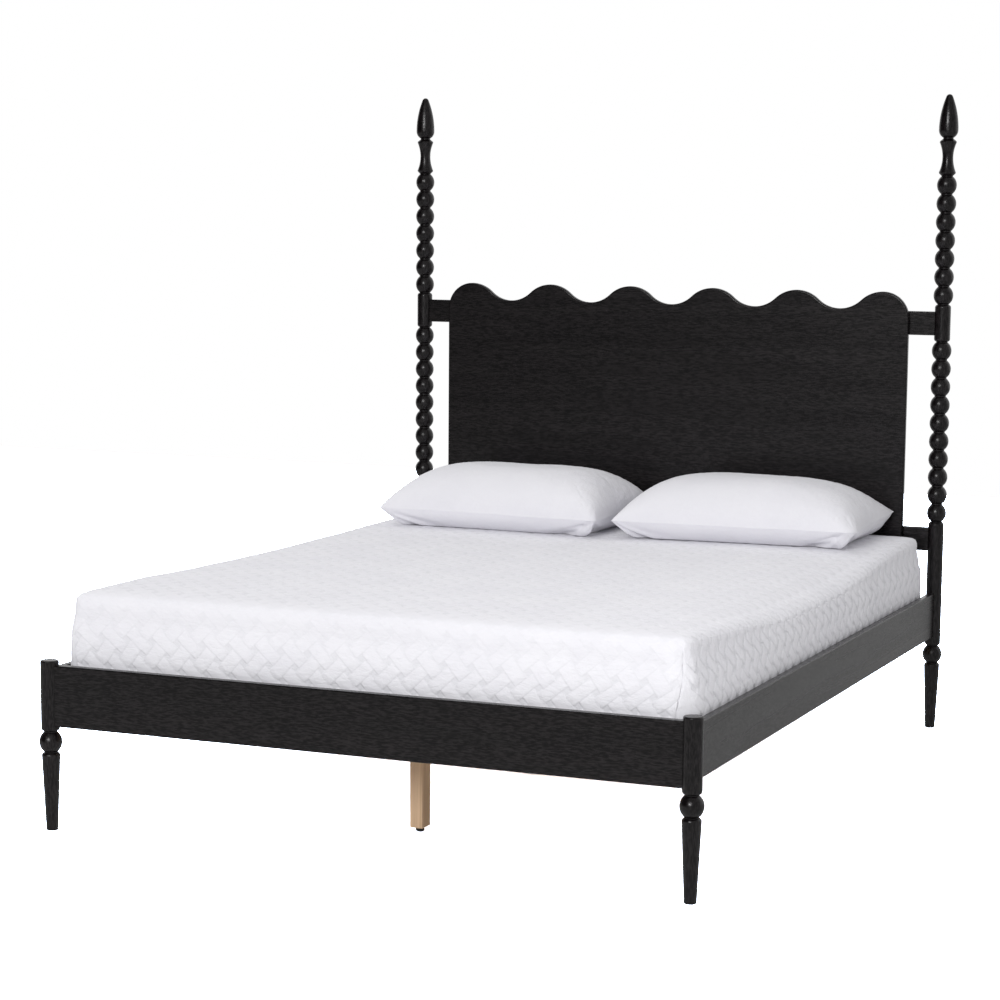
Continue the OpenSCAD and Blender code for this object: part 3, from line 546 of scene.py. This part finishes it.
def weave_grid(form):
    """Flat mesh over the top and the four walls, with its lines along the sewn lines of the pattern."""
    reach_a, reach_b = form.reach[0] + form.depth, form.reach[1] + form.depth
    front = form.reach[1] + (form.high.z - RIM_DROP + table(TOP_SWELL, -form.half[1]) - PATTERN_AT[1]) / REPEAT_Z
    at = (PATTERN_AT[0] / REPEAT_X, -front)
    span = 3 * (reach_a + reach_b + abs(at[0]) + abs(at[1]) + 3)
    first = math.floor(-span / 3) - 1
    steps = np.arange(first, -first)
    p_lines = (3 * steps[:, None] + np.array([0, SEWN, 1 - SEWN, 1, 1 + SEWN, 3 - SEWN])).ravel()
    q_lines = (3 * steps[:, None] + np.array([0, SEWN, 2 - SEWN, 2, 2 + SEWN, 3 - SEWN])).ravel()
    p, q = np.meshgrid(p_lines, q_lines, indexing="ij")
    a, b = (p + q) / 6 + at[0], (p - q) / 6 + at[1]
    inside = (np.abs(a) < reach_a + 1) & (np.abs(b) < reach_b + 1)
    inside &= (np.abs(a) < form.reach[0] + 1) | (np.abs(b) < form.reach[1] + 1)
    index = np.full(p.shape, -1)
    index[inside] = np.arange(inside.sum())
    quads = np.stack([index[:-1, :-1], index[:-1, 1:], index[1:, 1:], index[1:, :-1]], -1).reshape(-1, 4)
    quads = quads[(quads >= 0).all(axis=1)]
    shape = bmesh.new()
    flat = bpy.data.meshes.new("weave")
    flat.from_pydata(np.column_stack([a[inside], b[inside], np.zeros(inside.sum())]).tolist(), [], quads.tolist())
    shape.from_mesh(flat)
    bpy.data.meshes.remove(flat)
    cut_weave(shape, form)
    return shape, at


def cut_weave(shape, form):
    """Trims the flat mesh to the cross of top and walls, and adds lines where the form is round."""

    def cut(axis, at, clear=False):
        normal = [0.0, 0.0, 0.0]
        normal[axis] = math.copysign(1.0, at)
        place = [0.0, 0.0, 0.0]
        place[axis] = at
        parts = shape.verts[:] + shape.edges[:] + shape.faces[:]
        bmesh.ops.bisect_plane(shape, geom=parts, dist=1e-6, plane_co=place, plane_no=normal, clear_outer=clear)

    for axis in (0, 1):
        for sign in (-1, 1):
            cut(axis, sign * (form.reach[axis] + form.depth), True)
            cut(axis, sign * form.reach[axis])
    corner = [f for f in shape.faces if all(abs(f.calc_center_median()[k]) > form.reach[k] for k in (0, 1))]
    bmesh.ops.delete(shape, geom=corner, context="FACES")
    for axis, repeat in ((0, REPEAT_X), (1, REPEAT_Y)):
        for inset in RIM_LINES:
            for sign in (-1, 1):
                cut(axis, sign * (form.reach[axis] - inset * MM / repeat))
    for offset in (-SEAM_W, 0, SEAM_W):
        for sign in (-1, 1):
            cut(0, sign * (SEAM_X + offset) / form.half[0] * form.reach[0])
    for sign in (-1, 1):
        cut(1, sign * (form.reach[1] + form.depth - BASE_R / REPEAT_Z))
    match_corners(shape, form)


def match_corners(shape, form):
    """Gives the two sides of each upright corner the same points, so that they can be joined."""
    for sx in (-1, 1):
        for sy in (-1, 1):
            sides = []
            for axis, sign, other in ((0, sx, sy), (1, sy, sx)):
                free = 1 - axis

                def on_line(v):
                    on_rim = abs(v.co[axis] * sign - form.reach[axis]) < ON_LINE
                    return on_rim and v.co[free] * other > form.reach[free] - ON_LINE

                sides.append((free, other, [e for e in shape.edges if on_line(e.verts[0]) and on_line(e.verts[1])]))
            depths = [
                sorted({round(v.co[free] * other - form.reach[free], 5) for e in edges for v in e.verts})
                for free, other, edges in sides
            ]
            for (free, other, edges), wanted in zip(sides, reversed(depths)):
                for d in wanted:
                    for e in edges:
                        ends = [v.co[free] * other - form.reach[free] for v in e.verts]
                        low, high = min(ends), max(ends)
                        if low + APART < d < high - APART:
                            share = (d - ends[0]) / (ends[1] - ends[0])
                            made, _ = bmesh.utils.edge_split(e, e.verts[0], share)
                            edges.append(made)
                            break


def make_mattress():
    form = MattressForm()
    shape, at = weave_grid(form)
    flat = np.array([v.co[:] for v in shape.verts])
    a, b = flat[:, 0], flat[:, 1]
    points, depth, left = form.place(a, b)
    for v, p in zip(shape.verts, points):
        v.co = p
    cover = white_fabric("mattress_ticking", (45.0, 130.0, 90.0), (0.0, 0.0, 0.35), 4 * MM)
    mesh = bpy.data.meshes.new("quilted_mattress")
    shape.to_mesh(mesh)
    # the pattern fades over the rims of the ends, at the smooth corners and near the base
    end_wall, side_wall = np.abs(b) > form.reach[1], np.abs(a) > form.reach[0]
    on_top = ~end_wall & ~side_wall
    seam_a = SEAM_X / form.half[0] * form.reach[0]
    above = points[:, 2] - form.low.z
    strength = np.ones(len(a))
    strength[on_top] = FLAT_SHARE + (1 - FLAT_SHARE) * fade(left[on_top], 70 * MM, 50 * MM)
    low_rim = on_top & (left < CREASE_AT)
    strength[low_rim] = RIM_SHARE
    strength[end_wall] = RIM_SHARE + (1 - RIM_SHARE) * fade(depth[end_wall], 0, 45 * MM)
    strength[(end_wall | low_rim) & (np.abs(a) > seam_a)] = 0
    from_corner = (form.reach[1] - np.abs(b)) * REPEAT_Y
    strength[side_wall] = SIDE_SHARE * fade(from_corner[side_wall], 22 * MM, 45 * MM)
    strength *= fade(above, 8 * MM, 25 * MM)
    pull = 1 + PULL * fade(-points[:, 2], -PULL_TOP, PULL_FADE) * (b < -form.reach[1])
    wave = waves(points, WAVES) * fade(above, 0, 30 * MM)
    seam = np.exp(-(((np.abs(a) - seam_a) * REPEAT_X / SEAM_W) ** 2) * SEAM_SHARP) * end_wall * SEAM_DEEP
    crease = np.exp(-(((left - CREASE_AT) / CREASE_W) ** 2)) * on_top * CREASE_DEEP
    raised = weave(a - at[0], b - at[1])
    shift = raised * strength * pull * PUFF + wave - seam - crease
    points = points + read(mesh, "normal") * shift[:, None]
    bpy.data.meshes.remove(mesh)
    # The sewn value is for painted shade: 1 in the sewn lines and small squares, less where the relief is weaker, and
    # the ticking is darkened by it
    sewn = shape.verts.layers.float.new("sewn")
    for v, p, line in zip(shape.verts, points, (1 - raised) * np.clip(strength, 0, 1)):
        v.co, v[sewn] = p, line
    border = [v for v in shape.verts if v.is_boundary]
    bmesh.ops.remove_doubles(shape, verts=border, dist=JOIN_WITHIN)
    rim = [e for e in shape.edges if e.is_boundary]
    bmesh.ops.edgeloop_fill(shape, edges=rim)
    bmesh.ops.recalc_face_normals(shape, faces=shape.faces)
    piece = new_piece("quilted_mattress", [], [], cover)
    shape.to_mesh(piece.data)
    shape.free()
    piece.data.polygons.foreach_set("use_smooth", [True] * len(piece.data.polygons))
    flatten_shading(piece, "flat_strips", 90)
    stand_for(piece, "mattress", "mattress")


make_mattress()

# ---------------------------------------------------------------- pillows

# Turn, plan size, shift from the middle of the solid along X, radius of the blunt corner at the front right, how far
# the tip at the rear right is lifted, how full the left and right halves are, and the seed of the creases
PILLOW = {
    "pillow_left": (math.radians(-2.5), (672 * MM, 450 * MM), 10 * MM, 30 * MM, 4 * MM, (5.0, 6.2), 21.0),
    "pillow_right": (math.radians(2.0), (692 * MM, 450 * MM), -2 * MM, 55 * MM, 12 * MM, (4.1, 3.2), 47.0),
}
SEAM_Z, PILLOW_H = 50 * MM, 169 * MM
# How far the middles of the edges are drawn in, as a share of half the size
DRAWN_IN = 0.05
# Reach and roundness of the steep band under the seam, and how far the seam stands out over it
BAND, BAND_POWER = 31 * MM, 0.74
LIP, LIP_H = 2.5 * MM, 14 * MM
# Radius of the corners at the foot of the pillow
FOOT_R = 90 * MM
# Roundness of the dome from front to back, and of the lifted tip along X and Y
DOME_POWER, TIP_POWERS = 2.4, (9, 6)
# The cloth's mesh: its step, and how far its rows close up towards the seam
CLOTH_STEP, ROW_CURVE = 5 * MM, 0.45
# The simulation: its length, and the furthest that a point may move
CLOTH_FRAMES, CLOTH_CAP = 20, 22 * MM
# Sag, lumps and small creases: sizes, height and what is added to the seed
SAG = (((0.13, 0.13, 1.0), 2.6 * MM, 0),)
LUMPS = (((0.16, 0.12, 0.12), 3 * MM, 5),)
CRINKLES = (((0.0085, 0.024, 0.024), 0.75 * MM, 0), ((0.03, 0.03, 0.03), 0.8 * MM, 3))


def band_profile(t, half):
    """(place across, depth) of the lower sheet: steep below the seam, then flat."""
    left = (1 - np.abs(t)) * half
    turn = fade(left, 0, BAND) * math.pi / 2
    inset = np.where(left < BAND, BAND * (1 - np.cos(turn) ** BAND_POWER), left)
    return np.sign(t) * (1 - inset / half), np.sin(turn) ** BAND_POWER


def stuffed(name, turn, size, shift, blunt, lift, fullness):
    """A pillow before it is inflated: two sheets that meet in a seam, the upper one domed and standing a little over
    the lower one, which is full at its sides and flat below."""
    low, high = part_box(name)
    mid = (low + high) / 2
    w, d = size[0] / 2, size[1] / 2
    nx, ny = round(2 * w / CLOTH_STEP), round(2 * d / CLOTH_STEP)
    u, v = (g.ravel() for g in np.meshgrid(np.linspace(-1, 1, nx + 1), np.linspace(-1, 1, ny + 1), indexing="ij"))
    # closer rows near the seam, where the cloth turns down
    u, v = (np.sin(t * math.pi / 2) * ROW_CURVE + t * (1 - ROW_CURVE) for t in (u, v))

    def plan(u, v, tucked=0):
        """Places of the cloth: one corner blunt, the others rounder the further down."""
        x, y = w * u * (1 - DRAWN_IN * (1 - v * v)), d * v * (1 - DRAWN_IN * (1 - u * u))
        round_off, blunted = FOOT_R * tucked, blunt + FOOT_R * tucked / 2
        core_x = np.clip(x, round_off - w, w - np.where(y < 0, blunted, round_off))
        core_y = np.clip(y, np.where(x > 0, blunted, round_off) - d, d - round_off)
        out_x, out_y = x - core_x, y - core_y
        reach_x, reach_y = np.maximum(w - np.abs(core_x), 1e-6), np.maximum(d - np.abs(core_y), 1e-6)
        round_x, round_y = np.sqrt(1 - (out_y / reach_y) ** 2 / 2), np.sqrt(1 - (out_x / reach_x) ** 2 / 2)
        return core_x + out_x * round_x, core_y + out_y * round_y

    full = np.where(u < 0, *fullness)
    dome = ((1 - np.abs(u) ** full) * (1 - np.abs(v) ** DOME_POWER)) ** 0.5
    raised = lift * fade(u, -1, 2) ** TIP_POWERS[0] * fade(v, -1, 2) ** TIP_POWERS[1]
    sag = waves(np.stack([u * w, v * d, 0 * u], 1), SAG, turn * 90)
    index = np.arange(len(u)).reshape(nx + 1, ny + 1)
    rim = np.zeros((nx + 1, ny + 1), bool)
    rim[[0, -1], :] = rim[:, [0, -1]] = True
    inner = ~rim.ravel()
    lower = np.full(len(u), -1)
    lower[inner] = len(u) + np.arange(inner.sum())
    lower[~inner] = index.ravel()[~inner]
    lower = lower.reshape(nx + 1, ny + 1)
    x, y = plan(u, v)
    upper_points = np.stack([x, y, dome * (PILLOW_H - SEAM_Z) + raised + sag], 1)
    (low_u, deep_u), (low_v, deep_v) = band_profile(u, w), band_profile(v, d)
    deep = deep_u * deep_v * SEAM_Z
    tuck = 1 - LIP * np.exp(-deep / LIP_H) / d
    x, y = plan(low_u * tuck, low_v * tuck, deep / SEAM_Z)
    lower_points = np.stack([x, y, (raised + sag) * (1 - deep / SEAM_Z) - deep], 1)[inner]
    points = np.concatenate([upper_points, lower_points])
    cells = np.stack([index[:-1, :-1], index[1:, :-1], index[1:, 1:], index[:-1, 1:]], -1).reshape(-1, 4)
    under = np.stack([lower[:-1, :-1], lower[:-1, 1:], lower[1:, 1:], lower[1:, :-1]], -1).reshape(-1, 4)
    c, s = math.cos(turn), math.sin(turn)
    points[:, :2] = points[:, :2] @ np.array([[c, s], [-s, c]])
    points += [mid.x + shift, mid.y, low.z + SEAM_Z]
    return points, np.concatenate([cells, under]).tolist(), index[rim]


def inflate(piece, seam):
    """Swells the cloth with air inside, then holds each point within a short distance of where it was."""
    before = read(piece.data, "co")
    group = piece.vertex_groups.new(name="seam")
    group.add([int(i) for i in seam], 1.0, "REPLACE")
    cloth = piece.modifiers.new("cloth", "CLOTH")
    setting = cloth.settings
    setting.quality = 6
    setting.mass = 0.15
    setting.use_pressure, setting.uniform_pressure_force = True, 4.0
    setting.tension_stiffness = setting.compression_stiffness = 12.0
    setting.shear_stiffness, setting.bending_stiffness = 6.0, 0.4
    setting.effector_weights.gravity = 0.0
    setting.vertex_group_mass, setting.pin_stiffness = "seam", 0.6
    cloth.collision_settings.use_collision = False
    scene = bpy.context.scene
    for step in range(1, CLOTH_FRAMES + 1):
        scene.frame_set(step)
    swollen = piece.evaluated_get(bpy.context.evaluated_depsgraph_get()).to_mesh()
    after = read(swollen, "co")
    piece.modifiers.remove(cloth)
    piece.vertex_groups.clear()
    scene.frame_set(1)
    move = after - before
    size = np.linalg.norm(move, axis=1)[:, None]
    return before + move * np.minimum(1, CLOTH_CAP / np.maximum(size, 1e-9))


def keep_seam(mesh, seam):
    """Keeps the seam crisp when the mesh is made finer."""
    on_seam = np.zeros(len(mesh.vertices), bool)
    on_seam[seam] = True
    ends = np.empty(len(mesh.edges) * 2, np.int32)
    mesh.edges.foreach_get("vertices", ends)
    held = on_seam[ends.reshape(-1, 2)].all(axis=1)
    mesh.attributes.new("crease_edge", "FLOAT", "EDGE").data.foreach_set("value", held.astype(np.float32))
    mesh.attributes.new("sharp_edge", "BOOLEAN", "EDGE").data.foreach_set("value", held)


def make_pillow(name, *shape):
    turn, seed = shape[0], shape[-1]
    low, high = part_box(name)
    points, faces, seam = stuffed(name, *shape[:-1])
    # The covers are the ticking's cloth with light at 0.98, 2% darker: painted shade
    cover = white_fabric(f"{name}_cover", (110.0, 150.0, 70.0), (0.0, 0.0, turn), 2.6 * MM, 700.0, 0.98)
    piece = new_piece(f"{name}_stuffed", points, faces, cover)
    keep_seam(piece.data, seam)
    points = inflate(piece, seam)
    above = fade(points[:, 2] - low.z, SEAM_Z, 30 * MM)
    points = points + read(piece.data, "normal") * (waves(points, LUMPS, seed) * above)[:, None]
    points[:, 2] = np.clip(points[:, 2], low.z, high.z + 6 * MM)
    write_points(piece.data, points)
    finer = piece.modifiers.new("finer", "SUBSURF")
    finer.levels = finer.render_levels = 1
    fine = bpy.data.meshes.new_from_object(piece.evaluated_get(bpy.context.evaluated_depsgraph_get()))
    piece.modifiers.remove(finer)
    piece.data = fine
    add_crinkle(fine, low.z, seed)
    stand_for(piece, name, name)


def add_crinkle(mesh, base, seed):
    """The small creases of the cover, stronger to the right and at the back."""
    points, normals = read(mesh, "co"), read(mesh, "normal")
    span = points.max(axis=0) - points.min(axis=0)
    along_x, along_y = ((points[:, k] - points[:, k].min()) / span[k] for k in (0, 1))
    above = points[:, 2] - base
    share = 0.35 + 0.65 * fade(along_x, 0.45, 0.4) + 0.2 * along_y
    share *= np.maximum(fade(above, SEAM_Z + 2 * MM, 14 * MM), 0.3)
    share *= fade(above, 4 * MM, 12 * MM)
    write_points(mesh, points + normals * (waves(points, CRINKLES, seed) * share)[:, None])


for pillow_name, pillow_shape in PILLOW.items():
    make_pillow(pillow_name, *pillow_shape)

# ---------------------------------------------------------------- stage and light

# The room's light: its strengths, the direction in which it is brightest, and how it fades to a share on the right.
# Ranges are of a component of the direction looked in.
ROOM_LOW, ROOM_HIGH = 0.36, 1.15
ROOM_TOP = (-0.25, 0.45, 0.86)
ROOM_RIGHT = (-0.3, 0.9, 1.0, 0.6)
# What gloss shows: the white backdrop along Y, and in front of it the room along X, dark on the left
BACKDROP_RISE = (0.0, 0.6)
ROOM_IN_GLOSS = (-0.47, -0.2, 0.02, 0.45)
# Power in watts, side in metres, place, and the point it faces
LAMPS = {
    "window": (785, 3.4, (0.4, -13.6, 5.6), (0.0, 0.0, 0.5)),
    "second_window": (28, 0.8, (3.1, -2.8, 1.7), (0.76, -0.9, 0.45)),
}
FLOOR_SIDE = 14.0
# Tones for the light it gives back, and a colour that the camera sees as pure white
FLOOR_GREY = (0.74, 0.76)
FLOOR_SEEN = (9.5, 10.6, 12.2)
# The floor glows for gloss rays, dimmer further in front of the bed: places along Y and strengths. Then its share
# beside the bed.
FLOOR_GLOSS = (-5.0, -2.6, 0.33, 0.65)
FLOOR_BESIDE = (-2.0, 0.5, 1.0, 0.72)


def seen_rays(tree):
    """1 for the rays that show the backdrop: straight from the camera, or by way of gloss or glass."""
    path = put(tree, "ShaderNodeLightPath").outputs
    direct = maths(tree, "MAXIMUM", path["Is Camera Ray"], path["Is Transmission Ray"])
    return maths(tree, "MAXIMUM", direct, path["Is Glossy Ray"])


def add_floor():
    made, tree, shader = new_material("studio_floor")
    tree.nodes.remove(shader)
    path = put(tree, "ShaderNodeLightPath").outputs
    mottle = speckle(tree, object_coordinates(tree), 0.8, 2.0)
    plain = blend_colour(tree, mottle, (FLOOR_GREY[0],) * 3, (FLOOR_GREY[1],) * 3)
    colour = blend_colour(tree, path["Is Camera Ray"], plain, FLOOR_SEEN)
    diffuse = put(tree, "ShaderNodeBsdfDiffuse", Color=colour).outputs[0]
    ahead = put(tree, "ShaderNodeSeparateXYZ", Vector=object_coordinates(tree)).outputs["Y"]
    strength = maths(tree, "MULTIPLY", spread(tree, ahead, *FLOOR_GLOSS), spread(tree, ahead, *FLOOR_BESIDE))
    # A glow that gloss sees on the floor, though the floor is no lamp
    gloss_glow = put(tree, "ShaderNodeEmission", Strength=strength).outputs[0]
    reflected = maths(tree, "MAXIMUM", path["Is Glossy Ray"], path["Is Transmission Ray"])
    surface = put(tree, "ShaderNodeMixShader", None, {0: reflected, 1: diffuse, 2: gloss_glow}).outputs[0]
    tree.links.new(surface, tree.nodes["Material Output"].inputs["Surface"])
    side = FLOOR_SIDE / 2
    corners = [(-side, -side, 0), (side, -side, 0), (side, side, 0), (-side, side, 0)]
    floor = new_piece("studio_floor", corners, [(0, 1, 2, 3)], made, False)
    floor.location.z = -0.5 * MM


def add_light():
    """A white backdrop behind the bed and a dimmer room in front of it, with a large and a small window."""
    world = bpy.data.worlds.new("studio")
    bpy.context.scene.world = world
    world.use_nodes = True
    tree = world.node_tree
    tree.nodes.clear()
    direction = put(tree, "ShaderNodeTexCoord").outputs["Generated"]
    heading = put(tree, "ShaderNodeSeparateXYZ", Vector=direction).outputs
    towards = {0: direction, 1: ROOM_TOP}
    upward = put(tree, "ShaderNodeVectorMath", {"operation": "DOT_PRODUCT"}, towards).outputs["Value"]
    backdrop = spread(tree, heading["Y"], *BACKDROP_RISE)
    front = spread(tree, heading["X"], *ROOM_IN_GLOSS)
    room = blend_colour(tree, backdrop, put_grey(tree, front), (1.0, 1.0, 1.0))
    path = put(tree, "ShaderNodeLightPath").outputs
    gloss = blend_colour(tree, path["Is Glossy Ray"], (1.0, 1.0, 1.0), room)
    overhead = spread(tree, upward, 0.0, 1.0, ROOM_LOW, ROOM_HIGH)
    overhead = put_grey(tree, maths(tree, "MULTIPLY", overhead, spread(tree, heading["X"], *ROOM_RIGHT)))
    colour = blend_colour(tree, seen_rays(tree), overhead, gloss)
    sky = put(tree, "ShaderNodeBackground", Color=colour)
    out = put(tree, "ShaderNodeOutputWorld")
    tree.links.new(sky.outputs[0], out.inputs["Surface"])
    for name, (power, side, place, target) in LAMPS.items():
        light = bpy.data.lights.new(name, "AREA")
        light.shape, light.size, light.energy = "SQUARE", side, power
        lamp = bpy.data.objects.new(name, light)
        lamp.location = place
        lamp.rotation_mode = "QUATERNION"
        lamp.rotation_quaternion = (Vector(place) - Vector(target)).to_track_quat("Z", "Y")
        lamp.visible_camera = False
        lamp.visible_glossy = name == "window"
        bpy.context.scene.collection.objects.link(lamp)


add_floor()
add_light()
bpy.context.scene.view_settings.view_transform = "Standard"
